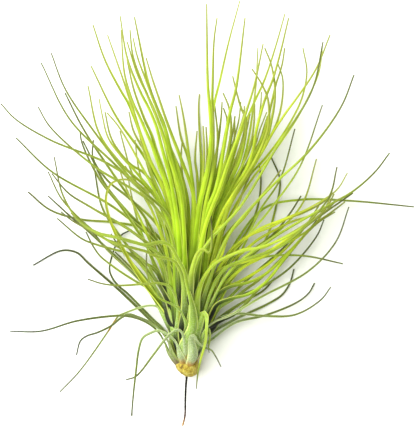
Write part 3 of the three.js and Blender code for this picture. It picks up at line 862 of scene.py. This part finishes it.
# The inner leaves stand between the grown ones and fill the bright heart of the plant. They are young
# tissue, and are made as the grown leaves are. A row without height or turn gets them from golden
# steps up the stem and from where the leaf is seen.
tuft_launch = math.radians(12)
lowest_seat = 12
seat_spread = 14
turn_reach = 14
golden_step = 0.618
inner_leaves = [
    dict(height=18, turn=-60, crest=34, tip=30, seen=[
        [-8, 78], [-13.3, 96.5], [-17.5, 105.3], [-21, 114.5], [-23.8, 122.6], [-27, 133], [-29.4, 140],
        [-31.5, 146.5], [-39.8, 170.5]]),
    dict(height=20, turn=-40, crest=44, tip=44, seen=[
        [-7, 82], [-12, 100], [-15.2, 108], [-17.9, 116], [-21, 123], [-24, 130], [-26.7, 135.7],
        [-29.4, 143.4], [-31.5, 152], [-33, 173]]),
    dict(height=19, turn=-80, crest=26, tip=30, seen=[
        [-6, 80], [-11, 100], [-15.2, 112.3], [-17.9, 121], [-20.6, 126.8], [-22.9, 132.6], [-25, 138.4],
        [-26.8, 144], [-30, 158]]),
    dict(height=21, turn=-100, crest=20, tip=26, seen=[
        [-4, 86], [-8, 104], [-12.2, 121], [-15.6, 130.5], [-19, 138.4], [-22.6, 147], [-27, 160],
        [-28.5, 173]]),
    dict(height=22, turn=-20, crest=36, tip=34, seen=[
        [-2.2, 86], [-5, 100], [-8.7, 114.5], [-11.8, 126.5], [-16.4, 136.8], [-20.2, 146.8], [-25, 160],
        [-27, 169]]),
    dict(height=23, turn=-10, crest=42, tip=40, seen=[
        [3.6, 86], [1.3, 96.8], [-1.8, 105], [-4.8, 113], [-7.9, 121], [-11.2, 130], [-14.5, 140],
        [-17.2, 148], [-20.5, 159]]),
    dict(height=17, turn=-70, crest=30, tip=20, seen=[
        [-12, 82], [-24, 100], [-33.5, 110.5], [-39.5, 119], [-42.5, 130.5], [-44, 138.5]]),
    dict(height=16, turn=-90, crest=22, tip=16, seen=[
        [-10, 82], [-21, 101], [-28.5, 106], [-37.5, 118], [-41, 132]]),
    dict(height=15, turn=-50, crest=36, tip=24, seen=[
        [-8, 72], [-15, 89.5], [-24.5, 108], [-34.5, 125], [-40, 131.5]]),
    dict(height=20, turn=-120, crest=14, tip=12, seen=[[-9, 86], [-18, 107], [-26.5, 122], [-29, 132]]),
    dict(height=13, turn=-100, crest=12, tip=8, blade=1, seen=[
        [-14, 74], [-24, 94], [-28.5, 104], [-30.5, 111], [-33.5, 122.5]]),
    dict(height=12, turn=-75, crest=24, tip=14, blade=1.7, seen=[
        [-12, 54], [-20, 65.5], [-32.5, 84], [-43.5, 98], [-52.5, 116.5], [-53.5, 122.5]]),
    dict(height=13, turn=-110, crest=14, tip=10, blade=1.7, seen=[
        [-14, 66], [-28, 80], [-40, 94.5], [-47.5, 108.5], [-52, 117.5]]),
    dict(height=14, turn=-85, crest=18, tip=14, blade=1.6, seen=[
        [-13, 72], [-28, 88], [-40, 98], [-47, 109], [-46.8, 118]]),
    dict(height=9, turn=-80, crest=22, tip=30, blade=1.6, tone_and_light=0, seen=[
        [-9, 28], [-14, 37], [-20.5, 45.5], [-30, 60], [-38.5, 78], [-40.5, 89], [-38, 96], [-32, 98.3],
        [-25.5, 96.8], [-18.5, 91.5]]),
    dict(height=11, turn=-60, crest=30, tip=16, blade=1.7, seen=[
        [-13.5, 59], [-26, 71], [-48.5, 84.5], [-59.5, 91.5], [-67.5, 101]]),
    dict(height=10, turn=-95, crest=16, tip=8, blade=1.5, seen=[
        [-14.5, 52], [-23.5, 57.5], [-33.5, 64], [-40, 68], [-47, 71.5]]),
    dict(height=24, turn=0, crest=34, tip=26, seen=[[3, 88], [0.5, 113], [-2, 130.5], [-4, 140.5]]),
    dict(height=25, turn=-30, crest=26, tip=20, seen=[[-1.5, 85], [-3, 109], [-2.5, 117]]),
    dict(height=26, turn=10, crest=30, tip=24, seen=[[5.5, 80], [5, 100], [4, 108], [5, 122.5]]),
    dict(height=25, turn=20, crest=38, tip=32, seen=[[7, 86], [8.5, 113], [8, 125]]),
    dict(height=24, turn=30, crest=30, tip=28, seen=[[8, 84], [10, 110], [9.5, 124.5]]),
    dict(height=23, turn=15, crest=40, tip=44, seen=[
        [6, 86], [11, 108], [12.5, 138], [13.5, 168], [15, 179]]),
    dict(height=24, turn=40, crest=26, tip=22, seen=[[9, 84], [14.5, 110.5], [17, 129], [17.5, 137]]),
    dict(height=22, turn=50, crest=36, tip=34, seen=[
        [12, 84], [19, 106], [22, 123], [21, 134], [18, 141.5]]),
    dict(height=21, turn=60, crest=32, tip=34, seen=[
        [16, 84], [27, 110], [29.5, 128], [27, 134], [24.5, 143], [22.8, 150]]),
    dict(height=23, turn=70, crest=22, tip=18, seen=[[12, 86], [20, 105], [23.5, 118], [23.8, 129.5]]),
    dict(height=22, turn=80, crest=16, tip=14, seen=[
        [11, 84], [18, 103], [23.5, 118], [26, 128], [27, 137]]),
    dict(height=20, turn=90, crest=14, tip=12, seen=[
        [15, 83], [25, 100], [31, 112], [35, 124], [36.8, 134], [37.3, 142]]),
    dict(height=17, turn=60, crest=34, tip=36, seen=[
        [18, 80], [28, 97], [35, 108], [39.3, 116], [41.8, 126], [43.7, 136.5], [43.9, 145], [42, 156],
        [38.8, 164]]),
    dict(height=18, turn=85, crest=20, tip=18, seen=[[20, 86], [34, 114.5], [36.5, 123], [40, 132]]),
    dict(height=19, turn=55, crest=28, tip=30, seen=[
        [17, 82], [27, 98], [34, 111], [38, 120], [41, 131], [42.8, 139], [44.5, 146], [47.5, 155.5],
        [48.8, 164]]),
    dict(height=15, turn=70, crest=38, tip=44, tone_and_light=0.1, seen=[
        [20, 82], [35.5, 110.5], [40.5, 124], [40.5, 138], [37, 146.5], [32.5, 153.5]]),
    dict(height=14, turn=80, crest=26, tip=24, seen=[
        [19, 74], [31, 96], [37.2, 104.2], [43.1, 111.4], [48.3, 118.6], [54.9, 128.4], [60, 138],
        [66, 151.5], [68, 167]]),
    dict(height=16, turn=90, crest=22, tip=18, seen=[[18, 80], [27, 97], [34, 107.5], [38.5, 114.5]]),
    dict(height=9, turn=85, crest=18, tip=12, blade=1.6, seen=[
        [24, 50], [40, 62], [55, 69], [65, 77], [71.5, 89], [73.5, 96.5]]),
    dict(height=11, turn=75, crest=26, tip=18, blade=1.7, seen=[
        [20, 58], [34, 72], [49, 78.5], [61.5, 84], [75, 93], [80.3, 101.5]]),
    dict(height=13, turn=90, crest=20, tip=16, blade=1.8, seen=[
        [17, 66], [31.5, 83], [47, 99], [56.5, 107.5]]),
    dict(height=8, turn=-85, crest=12, tip=8, blade=1.6, tone_and_light=0, seen=[
        [-8.5, 23], [-12, 32], [-16, 38], [-19.5, 43.5], [-26, 52], [-36, 62]]),
    # The broad bundle that curves out to the right.
    dict(crest=30, tip=22, seen=[
        [16, 54], [21, 59.5], [28, 63], [38, 64.2], [46, 68], [54, 72.5], [62, 78], [68, 85], [73, 91.5]]),
    dict(crest=26, tip=18, seen=[
        [20, 60.5], [30, 69.5], [42, 74.5], [50, 78.5], [58, 81.5], [66, 85.5], [72, 90]]),
    dict(crest=18, tip=14, seen=[
        [18, 53], [28, 62], [36, 68.5], [44, 73], [52, 77], [60, 79.5], [68, 83], [76, 88.5]]),
    dict(crest=34, tip=20, seen=[
        [14, 50], [20, 54.5], [30, 57.5], [38, 60], [45, 65], [54, 71.5], [62, 77], [70, 84.5], [73.5, 91]]),
    dict(crest=28, tip=10, tone_and_light=0.2, seen=[
        [16, 41], [21, 44.3], [30, 46.5], [37, 49.5], [43, 54], [50, 61], [57, 68.5], [64, 76], [71, 81],
        [79, 87]]),
    dict(crest=16, tip=12, seen=[
        [18, 43], [26, 47], [33, 51], [40, 55.5], [47, 61.5], [54, 68.5], [59, 74.5], [63, 80.5], [67, 87]]),
    dict(crest=32, tip=8, tone_and_light=0.3, seen=[
        [10, 27], [15, 35.5], [21, 38.2], [30, 40.5], [36, 44], [42, 49.5], [48, 57.5], [54, 64.5],
        [60, 71.5], [66, 77], [74, 82]]),
    dict(crest=22, tip=16, seen=[
        [15, 40.5], [19, 46], [24, 51], [30, 55.5], [36, 58.5], [43, 62.5], [50, 68], [57, 73], [63, 77.5],
        [70, 83], [75, 88]]),
    # These low leaves lie under the bundle and get the darker green look and a low tone, as painted shade.
    dict(crest=10, tip=6, look="green", tone_and_light=0, seen=[
        [12, 31], [17, 35], [23, 38.5], [29, 43], [36, 48], [43, 54.5], [50, 61.5], [56, 67], [61, 72.5]]),
    dict(crest=6, tip=4, look="green", tone_and_light=0, seen=[
        [10, 24], [17, 27.5], [24, 31], [28, 34.5], [34, 41.5], [39, 46.5], [45, 53.5], [50, 59.5], [55, 66],
        [60, 72], [65, 78]]),
    dict(crest=40, tip=24, seen=[
        [12, 55.5], [17, 60], [19, 66], [22, 72], [28, 78.5], [34, 86], [41, 95], [47, 103]]),
    dict(crest=36, tip=26, seen=[[12, 70], [18, 76], [23, 80.5], [26, 87], [29, 95], [33, 103]]),
    dict(crest=5, tip=2, look="green", tone_and_light=0, seen=[
        [11, 22], [16, 28], [22, 33], [30, 38], [38, 42.5], [44, 49]]),
    dict(crest=8, tip=4, look="green", tone_and_light=0.1, seen=[
        [11, 26], [15, 33], [22, 40], [30, 48], [38, 55], [46, 62], [54, 70]]),
    dict(crest=10, tip=8, look="green", tone_and_light=0.2, seen=[
        [14, 41], [22, 51], [30, 59], [38, 66], [46, 74], [52, 82], [57, 90]]),
    # The bundle that curves out to the left.
    dict(crest=20, tip=12, seen=[
        [-9, 27], [-12, 37], [-15.5, 43.5], [-18.5, 49], [-22, 54], [-26, 58.5], [-31, 62.3], [-37, 66],
        [-42, 69], [-47, 71.8], [-53, 76], [-58, 81.5]]),
    dict(crest=34, tip=14, seen=[
        [-6, 48], [-10, 57], [-16, 62.5], [-22, 65.5], [-30, 68], [-38, 70], [-46, 71.8], [-52, 74.5],
        [-58, 78], [-63, 82]]),
    dict(crest=24, tip=14, seen=[
        [-12, 52], [-16, 62], [-20, 70.5], [-24, 79.5], [-28, 88], [-31.5, 96.5], [-34, 104]]),
    dict(crest=30, tip=24, seen=[[-10, 60], [-14, 73], [-18, 83.5], [-22, 91], [-27, 99], [-31, 105]]),
    dict(crest=10, tip=8, blade=1.4, seen=[
        [-14, 50], [-19, 62], [-23, 72], [-26, 82], [-28, 91], [-29.5, 99]]),
    dict(crest=12, tip=6, seen=[
        [-9, 30], [-14, 39], [-19, 46.5], [-24, 52.5], [-29, 58], [-34, 64.5], [-38, 71]]),
    dict(crest=6, tip=4, tone_and_light=0, seen=[
        [-10, 26], [-15, 36], [-20, 43.5], [-26, 50], [-33, 56.5], [-40, 63], [-46, 70.5], [-50, 74]]),
    dict(crest=26, tip=14, seen=[
        [-12, 42], [-17, 50.5], [-20, 56], [-25, 60.5], [-30, 64.3], [-35, 66.5], [-41, 68.5]]),
    dict(crest=14, tip=12, tone_and_light=0, seen=[[-10, 48], [-13, 56], [-15.5, 63], [-18, 70], [-21, 78]]),
    # The upper left tuft and the bright heart.
    dict(crest=26, tip=20, seen=[
        [0.5, 84], [-1.5, 96], [-4, 104], [-6.5, 110], [-9.5, 117.5], [-11.5, 124]]),
    dict(crest=30, tip=24, seen=[[-9, 76], [-14, 92], [-18, 101], [-21, 110.5], [-22.8, 116], [-24, 121.5]]),
    dict(crest=36, tip=28, seen=[[-7, 78], [-10.5, 94], [-14, 104], [-17, 113], [-19.4, 119.6], [-22, 127]]),
    dict(crest=42, tip=34, seen=[[-3, 82], [-6, 98], [-9.5, 111], [-12.5, 120], [-15, 129]]),
    dict(crest=12, tip=8, blade=1.4, seen=[
        [-14, 78], [-20, 92], [-23, 99], [-24.3, 104], [-25.2, 110], [-26, 118]]),
    # The upper right tuft.
    dict(crest=38, tip=34, seen=[
        [12, 80], [17, 92], [20.5, 103], [23.5, 114], [26.6, 124.5], [28.4, 131], [28.7, 135]]),
    dict(crest=30, tip=24, blade=1.8, seen=[
        [10, 84], [13.8, 103], [15.2, 115], [15.2, 122], [14.3, 131], [13.6, 137]]),
    dict(crest=34, tip=36, seen=[[8, 84], [11, 102], [12, 116], [12.6, 128], [12.2, 136]]),
    dict(crest=42, tip=40, seen=[[9, 84], [12.5, 102], [13.2, 118], [13.2, 130], [12.6, 140]]),
    dict(crest=22, tip=20, seen=[[17, 78], [25, 93], [31, 103], [36, 112], [40, 119.5]]),
    dict(crest=32, tip=30, seen=[[15, 79], [22.5, 95], [28, 106], [32, 117], [33.5, 127], [33.8, 136]]),
    dict(crest=26, tip=22, seen=[[13, 78], [19, 92], [24, 104], [27, 114], [29.5, 122], [31.5, 131]]),
    dict(crest=16, tip=14, blade=1.6, seen=[
        [17, 82], [26, 100], [33, 111], [36.5, 118], [39, 126], [40.2, 130]]),
    dict(crest=24, tip=20, blade=1.9, seen=[
        [9, 82], [13.5, 97], [17, 110], [19, 121], [20, 128], [18.2, 134]]),
    dict(crest=18, tip=16, blade=1.9, seen=[[10.5, 82], [16, 98], [20, 110], [22.5, 120], [24, 130]]),
    dict(crest=20, tip=18, seen=[[13, 82], [20, 98], [25, 110], [28, 120], [29, 127]]),
    # A folded leaf, a thin curving leaf and a curled leaf stand in front.
    dict(height=8.5, turn=60, crest=34, tip=14, sheath=4, blade=1.9, sheath_end=6, blade_start=17,
         look="green", tone_and_light=1, seen=[
        [7.4, 18], [9.2, 22.6], [10.4, 23.6], [11.2, 21.5], [11.2, 18], [10.7, 14.5], [11, 11.6]]),
    dict(height=13, turn=-12, crest=40, tip=34, sheath=4.4, blade=1, sheath_end=8, blade_start=26,
         look="green", tone_and_light=0.3, seen=[
        [0, 23], [-1.6, 29], [-4, 33.3], [-8, 36], [-12.5, 38], [-16, 41.5], [-19, 47.5], [-20.3, 54],
        [-20.2, 62]]),
    dict(height=24, turn=6, crest=58, tip=38, sheath=3.4, blade=1.4, sheath_end=30, blade_start=70,
         look="green", tone_and_light=0.9, seen=[
        [1.8, 46], [2, 50], [3.2, 56], [5, 61], [7, 63.2], [9, 63], [10.5, 61.5], [11.7, 62.3], [12.2, 65.5],
        [12.4, 70], [12, 80]]),
]
for i, leaf in enumerate(inner_leaves):
    left, right, aside = leaning(leaf)
    step = i * golden_step % 1
    leaf.setdefault("sheath", 3.8)
    leaf.setdefault("blade", 2.1 - 0.7 * aside)
    leaf.setdefault("sheath_end", lerp(18, 8, aside))
    leaf.setdefault("blade_start", lerp(75, 40, aside))
    # The tone changes at random. It is painted lower when the leaf leans left, as painted shade, and higher
    # when it leans right, as painted light.
    leaf.setdefault("tone_and_light", (0.2 + 0.35 * step) * (1 - 0.7 * left) + 0.7 * right)
    leaf.setdefault("height", lowest_seat + seat_spread * step)
    leaf.setdefault("turn", math.degrees(math.atan2(leaf["seen"][2][0], turn_reach)))
    # Leaves that lean far left get the darker green look, as painted shade.
    leaf.setdefault("look", "green" if left > shaded_lean else "lime")
    leaf["turn"] = math.radians(leaf["turn"])
    leaf["launch"] = tuft_launch
    # The seat is painted in shade as far as the leaves around cover it.
    leaf["base_end"] = shaded_seat_run(leaf["height"])
    piece = grow_leaf(f"inner_leaf_{i + 1:02d}", leaf, leaf_looks[leaf["look"]])
bpy.data.objects.remove(straight_leaf)
